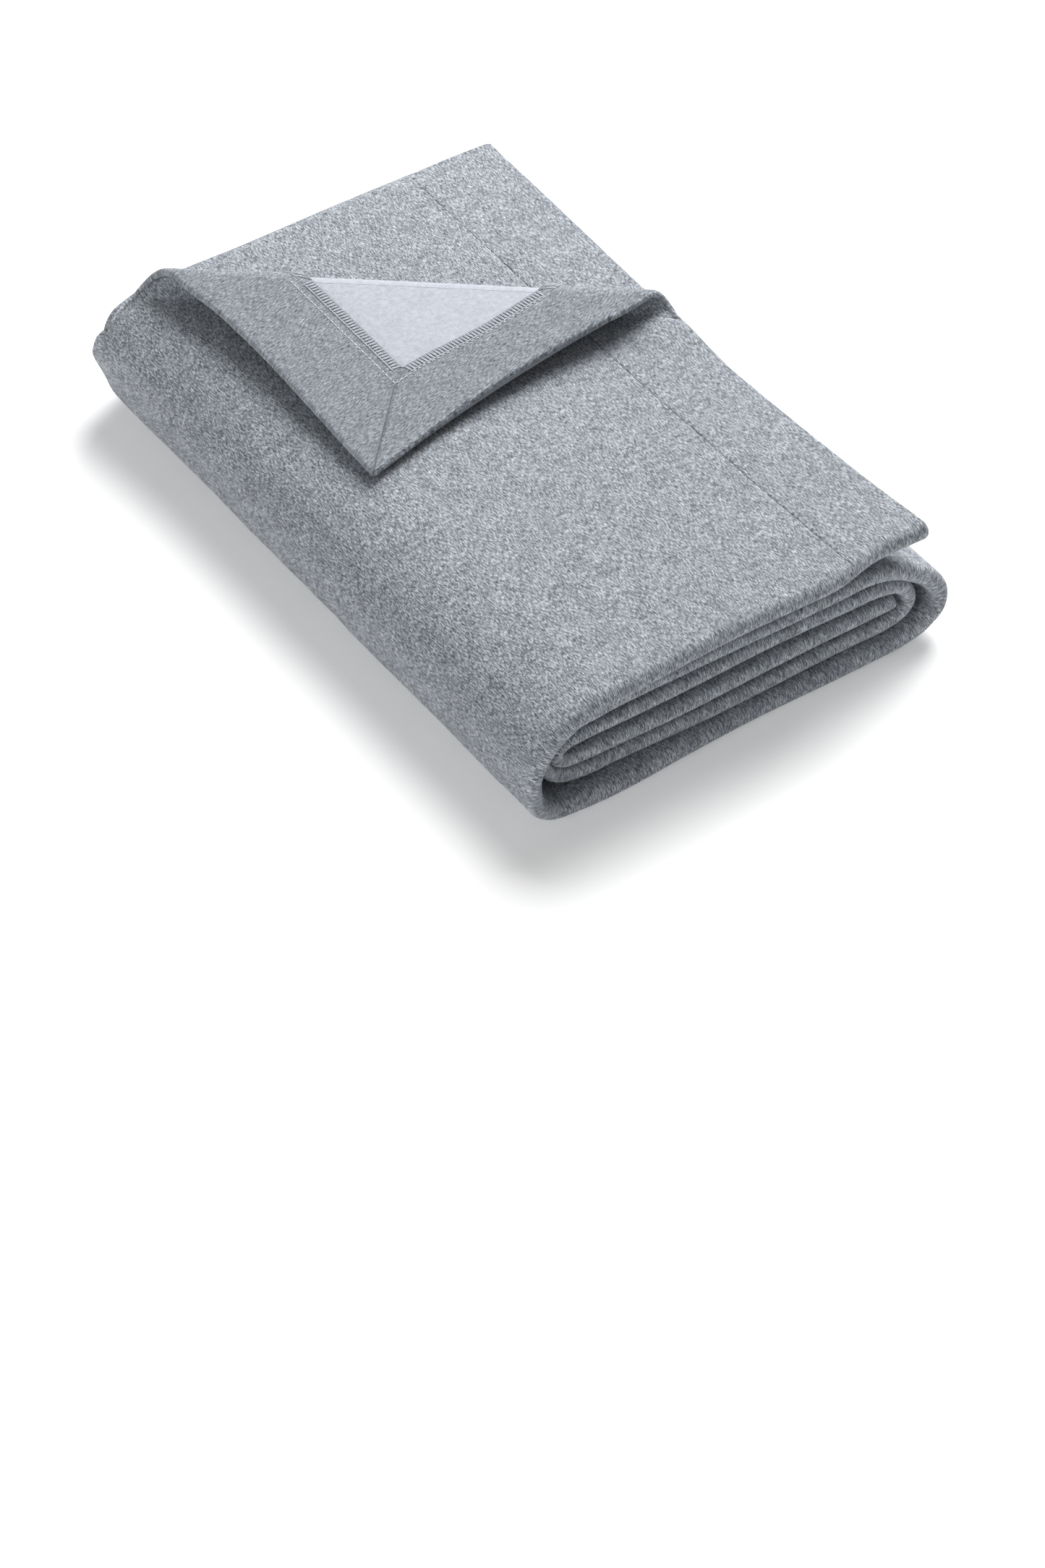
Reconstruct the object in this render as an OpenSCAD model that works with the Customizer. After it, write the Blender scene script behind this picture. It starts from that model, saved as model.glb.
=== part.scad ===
// Folded throw blanket: a sheet folded in three, then rolled flat, with one
// corner of the top layer turned back over the pile.
// X runs across the roll, Y along the folds from front to back, Z up.
// The origin is at the centre of the bottom of the whole model's box.

/* [Folded pile] */
// Length of the pile, from the front folds to the back folds
stack_l = 411; // [300:1:520]
// Width of the pile across the roll
stack_w = 264; // [210:1:340]
// Height of one layer of the roll, which is three plies of cloth
layer_t = 12; // [10:0.1:14.5]
// Air between one layer of the roll and the next
layer_gap = 0.6; // [0.4:0.1:1]
// Outer radius of the bend at the bottom of the left side
lower_bend_r = 20; // [16:0.5:24]
// Outer radius of the bend at the top of the left side
upper_bend_r = 36; // [30:0.5:42]
// How far the top layer's end stops short of the right side
top_inset = 16; // [4:0.5:40]
// How far the innermost layer's end stops short of the wrap around it
core_inset = 6; // [2:0.5:40]

/* [Cloth] */
// Thickness of a single ply of the sheet, with its pile
ply_t = 2.4; // [1.6:0.1:2.8]
// Air between two plies of the top layer
ply_gap = 0.3; // [0.3:0.1:0.5]
// How far the outer ply reaches past the back folds
back_overhang = 10; // [4:1:50]

/* [Hems] */
// Width of the turned hem, from the finished edge to the raw edge
hem_w = 63; // [40:1:75]
// Thickness of the turned hem
hem_t = 2; // [1.5:0.1:2.4]
// Room between the hem and the ply under it
hem_clear = 1; // [0.8:0.1:1.4]
// Width of the overlocked raw edge
overlock_w = 6; // [3:0.5:9]
// How far the overlocking stands above the hem
overlock_rise = 0.3; // [0.1:0.1:0.4]
// Distance of the hem's needle line from the raw edge
stitch_inset = 10; // [10:0.5:16]
// Width of a needle line
stitch_w = 0.8; // [0.5:0.1:1.2]
// How far a needle line or the mitre seam stands above the hem
stitch_rise = 0.4; // [0.2:0.1:0.5]
// Width of the mitre seam
mitre_w = 1.2; // [0.8:0.1:2]

/* [Turned corner] */
// Length turned back along the top layer's right end
corner_end_leg = 199; // [150:1:240]
// Length turned back along the top layer's back edge
corner_side_leg = 229; // [165:1:240]
// Radius of the curl where the corner turns over, to the middle of the ply
curl_r = 8; // [6:0.5:10]
// Air under the tip of the turned corner
rest_gap = 0.5; // [0.4:0.1:2]
// Air between pieces on the two sides of a fold that moves
fold_gap = 0.4; // [0.3:0.1:0.8]

/* [Hidden] */

jersey = [0.60, 0.63, 0.68];
jersey_hem = [0.56, 0.59, 0.64];
fleece = [0.86, 0.88, 0.92];
thread = [0.78, 0.80, 0.84];
round_fn = 96;
layers = 6;

// Levels: each layer of the roll stands one pitch above the one below it
pitch = layer_t + layer_gap;
stack_h = layers * layer_t + (layers - 1) * layer_gap;
lower_inner_z = pitch;
core_z = 2 * pitch;
upper_inner_z = 3 * pitch;
under_top_z = 4 * pitch;
top_z = 5 * pitch;

// Wraps: each is as tall as the layers that it joins
right_outer_r = (under_top_z + layer_t) / 2;
left_inner_r = (under_top_z + layer_t - lower_inner_z) / 2;
right_inner_r = (upper_inner_z + layer_t - lower_inner_z) / 2;
core_fold_r = (upper_inner_z + layer_t - core_z) / 2;
right_outer_x = stack_w - right_outer_r;
right_inner_x = stack_w - pitch - right_inner_r;
left_inner_x = pitch + left_inner_r;
core_fold_x = 2 * pitch + core_fold_r;
core_end_r = layer_t / 2;
core_end_x = stack_w - 2 * pitch - core_inset - core_end_r;

// The top layer's plies, from the outer one down
top_start_x = upper_bend_r + fold_gap;
top_end_x = stack_w - top_inset;
back_y = stack_l + back_overhang;
hem_room = hem_t + hem_clear;
inner_ply_t = (layer_t - ply_t - hem_room - ply_gap) / 2;
middle_ply_z = top_z + inner_ply_t + ply_gap;
outer_ply_z = stack_h - ply_t;
front_fold_r = layer_t / 2;
back_fold_r = (2 * inner_ply_t + ply_gap) / 2;
end_edge_r = (ply_t + hem_t) / 2;
end_edge_x = top_end_x - end_edge_r;

// The turned corner: the sheet's corner before it is turned is at
// (top_end_x, back_y), and the fold line cuts off a leg on each edge
fold_hyp = norm([corner_end_leg, corner_side_leg]);
fold_dir = [-corner_side_leg / fold_hyp, corner_end_leg / fold_hyp];
fold_normal = [corner_end_leg / fold_hyp, corner_side_leg / fold_hyp];
tip_reach = corner_end_leg * corner_side_leg / fold_hyp;
half_turn = 180;
deg = PI / half_turn;

// The flap slopes down from the curl until its tip all but touches the cloth
function tip_slope(height) = atan((height - ply_t - rest_gap) / tip_reach);
// Height above the ply's middle of the axis that a turn of this angle needs,
// so that the cloth keeps its length when the turn is opened out flat
function axis_rise(turn) = curl_r * (1 - turn / 2 * deg / tan(turn / 2));
flap_slope = tip_slope(2 * axis_rise(half_turn + tip_slope(2 * curl_r)));
corner_turn = half_turn + flap_slope;
curl_len = curl_r * corner_turn * deg;
corner_axis_z = outer_ply_z + ply_t / 2 + axis_rise(corner_turn);
// The point of the fold line on the sheet's end, which the axis passes over
corner_axis_x = top_end_x;
corner_axis_y = back_y - corner_end_leg;
// Where the curl starts on the sheet's end, and where the needle line lies
curl_start_y = corner_axis_y - curl_len / 2 / fold_normal[1];
needle_in = hem_w - stitch_inset;

// The frame's origin is at the middle of the box's bottom
origin_x = stack_w / 2;
origin_y = back_y / 2;

// A flat outline in X and Z, drawn out along Y
module along_y(y0, y1) {
    translate([0, y1, 0]) rotate([90, 0, 0]) linear_extrude(y1 - y0) children();
}

// A flat outline in Y and Z, drawn out along X
module along_x(x0, x1) {
    translate([x0, 0, 0]) rotate([90, 0, 90]) linear_extrude(x1 - x0) children();
}

// A rectangle from its two corners
module box2d(x0, z0, x1, z1) {
    translate([x0, z0]) square([x1 - x0, z1 - z0]);
}

// Half a ring: side is 1 for a wrap on the right and -1 for one on the left
module wrap2d(x, z, r, t, side) {
    intersection() {
        translate([x, z]) difference() {
            circle(r, $fn = round_fn);
            circle(r - t, $fn = round_fn);
        }
        box2d(min(x, x + side * r), z - r, max(x, x + side * r), z + r);
    }
}

// A quarter of a ring on the left: up is 1 for the top bend, -1 for the lower
module bend2d(r, z, t, up) {
    intersection() {
        translate([r, z]) difference() {
            circle(r, $fn = round_fn);
            circle(r - t, $fn = round_fn);
        }
        box2d(0, min(z, z + up * r), r, max(z, z + up * r));
    }
}

// Everything is drawn from the pile's left front corner, then centred
module placed() {
    translate([-origin_x, -origin_y, 0]) children();
}

// One layer of the roll, three plies thick
module layer(x0, x1, z) {
    color(jersey) placed() along_y(0, stack_l) box2d(x0, z, x1, z + layer_t);
}

// One wrap of the roll, three plies thick
module wrap(x, z, r, side) {
    color(jersey) placed() along_y(0, stack_l) wrap2d(x, z, r, layer_t, side);
}

module bottom_layer() {
    layer(lower_bend_r, right_outer_x, 0);
}

module right_outer_wrap() {
    wrap(right_outer_x, right_outer_r, right_outer_r, 1);
}

module under_top_layer() {
    layer(left_inner_x, right_outer_x, under_top_z);
}

module left_inner_wrap() {
    wrap(left_inner_x, lower_inner_z + left_inner_r, left_inner_r, -1);
}

module lower_inner_layer() {
    layer(left_inner_x, right_inner_x, lower_inner_z);
}

module right_inner_wrap() {
    wrap(right_inner_x, lower_inner_z + right_inner_r, right_inner_r, 1);
}

module upper_inner_layer() {
    layer(core_fold_x, right_inner_x, upper_inner_z);
}

module core_fold() {
    wrap(core_fold_x, core_z + core_fold_r, core_fold_r, -1);
}

module core_layer() {
    layer(core_fold_x, core_end_x, core_z);
}

// The rounded end of the sheet, in the middle of the roll
module core_end_hem() {
    color(jersey_hem) placed() along_y(0, stack_l) intersection() {
        translate([core_end_x, core_z + core_end_r]) circle(core_end_r, $fn = round_fn);
        box2d(core_end_x, core_z, core_end_x + core_end_r, core_z + layer_t);
    }
}

// The outer ply's hem, which reaches past the back folds all through the roll
module roll_back_hem() {
    color(jersey_hem) placed() along_y(stack_l, back_y) {
        box2d(lower_bend_r, 0, right_outer_x, ply_t);
        wrap2d(right_outer_x, right_outer_r, right_outer_r, ply_t, 1);
        box2d(left_inner_x, under_top_z + layer_t - ply_t, right_outer_x, under_top_z + layer_t);
        wrap2d(left_inner_x, lower_inner_z + left_inner_r, left_inner_r, ply_t, -1);
        box2d(left_inner_x, lower_inner_z, right_inner_x, lower_inner_z + ply_t);
        wrap2d(right_inner_x, lower_inner_z + right_inner_r, right_inner_r, ply_t, 1);
        box2d(core_fold_x, upper_inner_z + layer_t - ply_t, right_inner_x, upper_inner_z + layer_t);
        wrap2d(core_fold_x, core_z + core_fold_r, core_fold_r, ply_t, -1);
        box2d(core_fold_x, core_z, core_end_x, core_z + ply_t);
    }
}

// The bend under the left side, with the outer ply's hem behind it
module lower_left_bend() {
    color(jersey) placed() {
        along_y(0, stack_l) bend2d(lower_bend_r, lower_bend_r, layer_t, -1);
        along_y(stack_l, back_y) bend2d(lower_bend_r, lower_bend_r, ply_t, -1);
    }
}

module left_side_wall() {
    color(jersey) placed() along_y(0, stack_l)
        box2d(0, lower_bend_r + fold_gap, layer_t, stack_h - upper_bend_r);
}

module left_side_back_hem() {
    color(jersey_hem) placed() along_y(stack_l, back_y)
        box2d(0, lower_bend_r + fold_gap, ply_t, stack_h - upper_bend_r);
}

// The bend over the left side, with the outer ply's hem behind it
module upper_left_bend() {
    color(jersey) placed() {
        along_y(0, stack_l) bend2d(upper_bend_r, stack_h - upper_bend_r, layer_t, 1);
        intersection() {
            along_y(stack_l, back_y) bend2d(upper_bend_r, stack_h - upper_bend_r, ply_t, 1);
            linear_extrude(stack_h) before_curl();
        }
    }
}

// The sheet's outer ply from above, behind the front fold, with no corner turned
module whole_top() {
    box2d(0, front_fold_r, top_end_x, back_y);
}

// All that is further than a distance past the fold line, towards the corner
module past_line(distance) {
    translate([top_end_x, back_y - corner_end_leg])
        rotate(atan2(fold_normal[1], fold_normal[0]))
        translate([distance, -stack_l]) square([stack_l, 2 * stack_l]);
}

// What is left of the sheet, from above, in front of the curl
module before_curl() {
    difference() {
        whole_top();
        past_line(-curl_len / 2);
    }
}

// The corner of the sheet past the curl, as it lies when it is opened out
module past_curl() {
    intersection() {
        whole_top();
        past_line(curl_len / 2 + fold_gap);
    }
}

// The sheet's outer ply, on top of the pile
module top_outer_ply() {
    color(jersey) placed() translate([0, 0, outer_ply_z]) linear_extrude(ply_t) intersection() {
        before_curl();
        box2d(top_start_x, 0, end_edge_x, back_y);
    }
}

module top_middle_ply() {
    color(jersey) placed() along_y(front_fold_r, stack_l - back_fold_r)
        box2d(top_start_x, middle_ply_z, end_edge_x, middle_ply_z + inner_ply_t);
}

module top_inner_ply() {
    color(jersey) placed() along_y(front_fold_r, stack_l - back_fold_r)
        box2d(top_start_x, top_z, end_edge_x, top_z + inner_ply_t);
}

// The front fold, from the outer ply round to the inner one
module top_front_fold() {
    color(jersey) placed() along_x(top_start_x, end_edge_x) intersection() {
        translate([front_fold_r, top_z + front_fold_r]) difference() {
            circle(front_fold_r, $fn = round_fn);
            circle(front_fold_r - ply_t, $fn = round_fn);
        }
        box2d(0, top_z, front_fold_r, stack_h);
    }
}

// The back fold, from the inner ply round to the middle one
module top_back_fold() {
    color(jersey) placed() along_x(top_start_x, end_edge_x) intersection() {
        translate([stack_l - back_fold_r, top_z + back_fold_r]) circle(back_fold_r, $fn = round_fn);
        box2d(stack_l - back_fold_r, top_z, stack_l, top_z + 2 * back_fold_r);
    }
}

// The turned edge at the sheet's end, from the outer ply round to its hem
module top_end_edge() {
    color(jersey_hem) placed() along_y(front_fold_r, curl_start_y) intersection() {
        translate([end_edge_x, stack_h - end_edge_r]) circle(end_edge_r, $fn = round_fn);
        box2d(end_edge_x, stack_h - 2 * end_edge_r, top_end_x, stack_h);
    }
}

// The sheet's end hem, under the outer ply, in a strip between two distances
// from the finished edge
module end_hem_strip(near, far, rise) {
    translate([0, 0, outer_ply_z - hem_t - rise]) linear_extrude(hem_t + rise) intersection() {
        before_curl();
        box2d(top_end_x - far, 0, top_end_x - near, back_y);
    }
}

module top_end_hem() {
    color(jersey_hem) placed() end_hem_strip(end_edge_r, hem_w - overlock_w, 0);
}

module top_end_overlock() {
    color(thread) placed() end_hem_strip(hem_w - overlock_w, hem_w, overlock_rise);
}

// The needle line of the end hem, as it shows on the outer face
module top_end_stitch() {
    color(thread) placed() translate([0, 0, stack_h]) linear_extrude(stitch_rise) intersection() {
        before_curl();
        box2d(top_end_x - needle_in - stitch_w, 0, top_end_x - needle_in, curl_start_y);
    }
}

// The curl where the corner turns over
module corner_curl() {
    reach = curl_r + ply_t / 2;
    first = curl_len / 2 * corner_end_leg / corner_side_leg;
    last = (top_end_x - reach * fold_normal[0] - top_start_x) * fold_hyp / corner_side_leg;
    color(jersey) placed()
        translate([top_end_x, curl_start_y, outer_ply_z + ply_t / 2 + curl_r])
        rotate([0, 0, atan2(fold_normal[1], fold_normal[0])])
        translate([0, last, 0]) rotate([90, 0, 0]) linear_extrude(last - first) curl2d(reach);
}

// The curl's section: past half a turn by the flap's slope
module curl2d(reach) {
    difference() {
        circle(reach, $fn = round_fn);
        circle(reach - ply_t, $fn = round_fn);
        polygon([
            [0, 0],
            [0, -2 * reach],
            [-2 * reach, -2 * reach],
            [-2 * reach, 2 * reach],
            [-2 * reach * tan(flap_slope), 2 * reach]
        ]);
    }
}

// Turns what is drawn opened out over to where the corner lies
module turned() {
    placed() translate([corner_axis_x, corner_axis_y, corner_axis_z])
        rotate(a = -corner_turn, v = [fold_dir[0], fold_dir[1], 0])
        translate([-corner_axis_x, -corner_axis_y, -corner_axis_z]) children();
}

// A strip of the corner's hem on the sheet's end, mitred at the corner
module corner_end_strip(near, far) {
    intersection() {
        past_curl();
        polygon([
            [top_end_x - near, 0],
            [top_end_x - near, back_y - near],
            [top_end_x - far, back_y - far],
            [top_end_x - far, 0]
        ]);
    }
}

// A strip of the corner's hem on the sheet's side, mitred at the corner
module corner_side_strip(near, far) {
    intersection() {
        past_curl();
        polygon([
            [0, back_y - near],
            [top_end_x - near, back_y - near],
            [top_end_x - far, back_y - far],
            [0, back_y - far]
        ]);
    }
}

// Puts a flat outline on the fleece side of the opened corner
module on_fleece(from, height) {
    turned() translate([0, 0, outer_ply_z - from - height]) linear_extrude(height) children();
}

module corner_panel() {
    color(fleece) turned() translate([0, 0, outer_ply_z]) linear_extrude(ply_t) past_curl();
}

module corner_end_hem() {
    color(jersey_hem) on_fleece(0, hem_t) corner_end_strip(0, hem_w - overlock_w);
}

module corner_side_hem() {
    color(jersey_hem) on_fleece(0, hem_t) corner_side_strip(0, hem_w - overlock_w);
}

module corner_end_overlock() {
    color(thread) on_fleece(0, hem_t + overlock_rise) corner_end_strip(hem_w - overlock_w, hem_w);
}

module corner_side_overlock() {
    color(thread) on_fleece(0, hem_t + overlock_rise) corner_side_strip(hem_w - overlock_w, hem_w);
}

// The needle lines stop at the mitre seam
module corner_end_stitch() {
    color(thread) on_fleece(hem_t, stitch_rise)
        corner_end_strip(needle_in - stitch_w / 2, needle_in + stitch_w / 2);
}

module corner_side_stitch() {
    color(thread) on_fleece(hem_t, stitch_rise)
        corner_side_strip(needle_in - stitch_w / 2, needle_in + stitch_w / 2);
}

// The seam runs from the corner to the needle lines
module corner_mitre_seam() {
    start = mitre_w;
    end = needle_in - stitch_w;
    color(thread) on_fleece(hem_t, stitch_rise) polygon([
        [top_end_x - start + mitre_w / 2, back_y - start - mitre_w / 2],
        [top_end_x - start - mitre_w / 2, back_y - start + mitre_w / 2],
        [top_end_x - end - mitre_w / 2, back_y - end + mitre_w / 2],
        [top_end_x - end + mitre_w / 2, back_y - end - mitre_w / 2]
    ]);
}

bottom_layer();
right_outer_wrap();
under_top_layer();
left_inner_wrap();
lower_inner_layer();
right_inner_wrap();
upper_inner_layer();
core_fold();
core_layer();
core_end_hem();
roll_back_hem();
lower_left_bend();
left_side_wall();
left_side_back_hem();
upper_left_bend();
top_outer_ply();
top_middle_ply();
top_inner_ply();
top_front_fold();
top_back_fold();
top_end_edge();
top_end_hem();
top_end_overlock();
top_end_stitch();
corner_curl();
corner_panel();
corner_end_hem();
corner_side_hem();
corner_end_overlock();
corner_side_overlock();
corner_end_stitch();
corner_side_stitch();
corner_mitre_seam();
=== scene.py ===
"""Folded throw blanket: a knitted sheet folded in three, rolled flat, with one corner turned back."""

import math

import bpy
import numpy as np
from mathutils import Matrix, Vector


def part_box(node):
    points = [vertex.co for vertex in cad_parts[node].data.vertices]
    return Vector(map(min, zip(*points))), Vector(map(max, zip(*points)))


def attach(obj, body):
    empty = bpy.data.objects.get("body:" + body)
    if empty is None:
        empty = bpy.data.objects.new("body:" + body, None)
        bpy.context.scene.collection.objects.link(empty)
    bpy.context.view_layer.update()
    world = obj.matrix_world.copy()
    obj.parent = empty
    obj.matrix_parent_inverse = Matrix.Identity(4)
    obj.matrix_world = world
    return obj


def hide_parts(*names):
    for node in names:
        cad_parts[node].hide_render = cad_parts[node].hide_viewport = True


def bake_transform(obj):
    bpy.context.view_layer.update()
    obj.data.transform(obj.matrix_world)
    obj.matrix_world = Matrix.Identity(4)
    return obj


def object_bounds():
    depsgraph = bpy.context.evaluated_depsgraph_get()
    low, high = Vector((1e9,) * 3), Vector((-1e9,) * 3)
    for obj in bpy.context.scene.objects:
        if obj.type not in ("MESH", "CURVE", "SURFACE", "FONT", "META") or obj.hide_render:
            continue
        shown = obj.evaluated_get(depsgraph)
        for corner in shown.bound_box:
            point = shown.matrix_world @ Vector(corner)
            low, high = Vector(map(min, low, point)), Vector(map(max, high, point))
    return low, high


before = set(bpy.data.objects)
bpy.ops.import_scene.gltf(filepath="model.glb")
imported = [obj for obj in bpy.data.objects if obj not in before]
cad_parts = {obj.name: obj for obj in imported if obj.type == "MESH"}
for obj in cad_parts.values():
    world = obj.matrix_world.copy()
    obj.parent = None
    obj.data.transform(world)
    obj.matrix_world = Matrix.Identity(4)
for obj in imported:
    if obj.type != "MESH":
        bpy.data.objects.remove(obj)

MM = 0.001

# The CAD box, and the pile's left front corner, which every length below starts from.
# Lengths are in millimetres: X across the roll, Y from the front folds back, Z up.
CAD_LOW, CAD_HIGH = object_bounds()
CORNER = np.array([CAD_LOW[0], CAD_LOW[1], 0.0])


def mid_height(node):
    """Height of the middle of a CAD node."""
    low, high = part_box(node)
    return (low[2] + high[2]) / 2 / MM


# Levels of the roll's layers, from the floor up
Z_BOTTOM = mid_height("bottom_layer")
Z_LOWER = mid_height("lower_inner_layer")
Z_CORE = mid_height("core_layer")
Z_UPPER = mid_height("upper_inner_layer")
Z_UNDER = mid_height("under_top_layer")
Z_TOP = Z_UNDER + (Z_UNDER - Z_UPPER)

# Cloth
HALF_PLY = 1.3  # half the cloth's thickness
PLY_LEVEL = 4.2  # the outer ply's middle, above the layer's middle
HEM_HALF = 1.0  # half the hem band's thickness
HEM_LEVEL = HALF_PLY + 0.1 + HEM_HALF  # the hem band's middle, above the sheet's middle
HEM_TOP = HEM_LEVEL + HEM_HALF
HEM_WIDTH = 59.0  # how far in the hem is turned under
NEEDLE_FROM_EDGE = 53.0  # from the end to its hem's needle line
EDGE_ROUND = 2.2  # how far in from a free edge the cloth thins to its rounded rim

# The pile
TOP_END = 255.0
END_FOOT_X = 246.5  # the top ply's end, where it turns over into the curl
ROLL_BACK = 406.0  # the folds between the inner plies, at the back
HEM_BACK = 415.0  # the outer ply's finished edge, behind them

# The turned corner, seen from above: its tip, and the ends of its fold on top of the curl
TIP = np.array([41.0, 195.0])
SIDE_TOP = np.array([36.0, 378.6])
END_TOP = np.array([232.0, 218.5])
SIDE_FOOT = np.array([11.0, 399.2])  # where the curl starts on the back edge
CURL_R = 8.0
FLAP_SLOPE = math.radians(5.1)
CLOTH_INSET = 3.0  # the sheet stops this far inside the hems' folded edge
SIDE_BAND = 56.5  # widths of the hem bands that show on it
END_BAND_TIP = 47.5
END_BAND_FAR = 42.5

# A low rise in the top ply, next to the place where its end turns over
HUMP_PLACE = (246.0, 206.0)
HUMP_REACH = 24.0
HUMP_HEIGHT = 5.0

# Shifts in the shades, so that one layer does not repeat the one beside it
BACK_NOISE = 400.0
HEM_NOISE = np.array([37.0, 91.0])

# Stage, in metres. The camera is fitted to the photo
CAMERA_PLACE = (-1.0260, -1.4782, 1.5840)
CAMERA_AZIMUTH = math.radians(-35.1)
CAMERA_ELEVATION = math.radians(44.9)
CAMERA_LENS = 154.6
FLOOR_SIZE = 12
FLOOR_GLOW = 0.22
SKY_STRENGTH = 0.22
# name, place, size and power
LIGHTS = [("key", (1.15, 0.85, 1.6), 1.4, 78), ("fill", (-2.2, -0.7, 0.6), 1.6, 18)]


def smooth(t):
    """From 0 to 1 as t does, level at both ends."""
    t = np.clip(t, 0.0, 1.0)
    return t * t * (3 - 2 * t)


def unit(v):
    """The vector at length 1."""
    return v / np.linalg.norm(v)


def waves(x, y, length):
    """Soft unevenness between -1 and 1, from a few crossed waves."""
    k = 2 * math.pi / length
    total = np.sin(k * (0.90 * x + 0.31 * y) + 0.7)
    total += np.sin(k * (-0.42 * x + 0.83 * y) + 2.1)
    total += 0.7 * np.sin(k * (1.37 * x - 0.95 * y) + 4.4)
    total += 0.5 * np.sin(k * (0.55 * x + 1.71 * y) + 5.3)
    return total / 3.2


# ---- meshes


def new_object(name, points, faces, materials, indices=None, flat_faces=None, flat=None):
    """A mesh object from points in pile millimetres."""
    mesh = bpy.data.meshes.new(name)
    placed = np.asarray(points, float) * MM + CORNER
    mesh.from_pydata(placed.tolist(), [], faces)
    for material in materials:
        mesh.materials.append(material)
    smooth_faces = np.ones(len(faces), bool)
    if flat_faces is not None:
        smooth_faces &= ~flat_faces
    mesh.polygons.foreach_set("use_smooth", smooth_faces)
    if indices is not None:
        mesh.polygons.foreach_set("material_index", np.asarray(indices, np.int32))
    if flat is not None:
        attribute = mesh.attributes.new("flat", "FLOAT_VECTOR", "POINT")
        attribute.data.foreach_set("vector", np.asarray(flat, np.float32).ravel())
    mesh.update()
    obj = bpy.data.objects.new(name, mesh)
    bpy.context.scene.collection.objects.link(obj)
    return obj


def grid_normals(mid):
    """Unit normals of a grid of points."""
    along = np.gradient(mid, axis=0)
    across = np.gradient(mid, axis=1)
    normal = np.cross(along, across)
    return normal / np.maximum(np.linalg.norm(normal, axis=2, keepdims=True), 1e-9)


def strip(a, b):
    """Quads between two rows of point numbers of the same length."""
    return np.stack([a[:-1], a[1:], b[1:], b[:-1]], axis=1)


def cloth(name, mid, flat, face_half, back_half, materials, seams=(), flip=False, normals=None):
    """Cloth around a grid of middle points: a face side, a back side and four rims.
    seams names the rims that meet another piece: u0, u1, s0 or s1."""
    rows, columns = mid.shape[:2]
    normal = grid_normals(mid) if normals is None else normals
    if flip:
        normal = -normal
    face_side = mid + normal * np.broadcast_to(face_half, (rows, columns))[..., None]
    back_side = mid - normal * np.broadcast_to(back_half, (rows, columns))[..., None]
    points = np.concatenate([face_side.reshape(-1, 3), back_side.reshape(-1, 3)])
    number = np.arange(rows * columns).reshape(rows, columns)
    lower = number + rows * columns
    quads = np.stack(
        [number[:-1, :-1], number[1:, :-1], number[1:, 1:], number[:-1, 1:]], axis=2
    ).reshape(-1, 4)
    under = quads[:, ::-1] + rows * columns
    if flip:
        quads = quads[:, ::-1]
        under = under[:, ::-1]
    rims = {
        "u0": strip(lower[0], number[0]),
        "u1": strip(number[-1], lower[-1]),
        "s0": strip(number[:, 0], lower[:, 0]),
        "s1": strip(lower[:, -1], number[:, -1]),
    }
    faces = [quads, under]
    indices = [np.zeros(len(quads)), np.ones(len(under))]
    flats = [np.zeros(len(quads), bool), np.zeros(len(under), bool)]
    for key, rim in rims.items():
        faces.append(rim[:, ::-1] if flip else rim)
        indices.append(np.zeros(len(rim)))
        flats.append(np.full(len(rim), key in seams))
    side = np.concatenate([np.zeros(rows * columns), np.full(rows * columns, BACK_NOISE)])
    sheet_place = np.concatenate([flat.reshape(-1, 2), flat.reshape(-1, 2)])
    return new_object(
        name,
        points,
        np.concatenate(faces).astype(int).tolist(),
        materials,
        np.concatenate(indices),
        np.concatenate(flats),
        np.column_stack([sheet_place, side]),
    )


def tubes(name, paths, radius, materials, sides=6):
    """Many round threads in one mesh, each along its own short path."""
    points, faces, flat = [], [], []
    for path in paths:
        path = np.asarray(path, float)
        ahead = np.gradient(path, axis=0)
        ahead /= np.linalg.norm(ahead, axis=1, keepdims=True)
        first = np.cross(ahead, [0.31, 0.17, 0.93])
        first /= np.linalg.norm(first, axis=1, keepdims=True)
        second = np.cross(ahead, first)
        base = len(points)
        for k, centre in enumerate(path):
            thin = 0.45 if k in (0, len(path) - 1) else 1.0
            for j in range(sides):
                angle = 2 * math.pi * j / sides
                out = math.cos(angle) * first[k] + math.sin(angle) * second[k]
                points.append(centre + radius * thin * out)
                flat.append((centre[0], centre[1], angle))
        for k in range(len(path) - 1):
            for j in range(sides):
                near = base + k * sides
                following = (j + 1) % sides
                faces.append((near + j, near + following, near + sides + following, near + sides + j))
        last = base + (len(path) - 1) * sides
        faces.append(tuple(base + j for j in reversed(range(sides))))
        faces.append(tuple(last + j for j in range(sides)))
    return new_object(name, points, faces, materials, flat=flat)


# ---- the roll's path


def through(points, step=0.5):
    """A smooth curve through points, as close samples."""
    p = np.array(points, float)
    h = np.linalg.norm(np.diff(p, axis=0), axis=1)
    slope = np.diff(p, axis=0) / h[:, None]
    tangent = np.empty_like(p)
    tangent[0], tangent[-1] = slope[0], slope[-1]
    weight = (h[:-1] / (h[:-1] + h[1:]))[:, None]
    tangent[1:-1] = slope[:-1] * (1 - weight) + slope[1:] * weight
    samples = []
    for k in range(len(h)):
        t = np.arange(0, 1, step / h[k])[:, None]
        a = 2 * t**3 - 3 * t**2 + 1
        b = t**3 - 2 * t**2 + t
        c = 3 * t**2 - 2 * t**3
        d = t**3 - t**2
        samples.append(a * p[k] + b * h[k] * tangent[k] + c * p[k + 1] + d * h[k] * tangent[k + 1])
    samples.append(p[-1:])
    return np.concatenate(samples)


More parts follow.
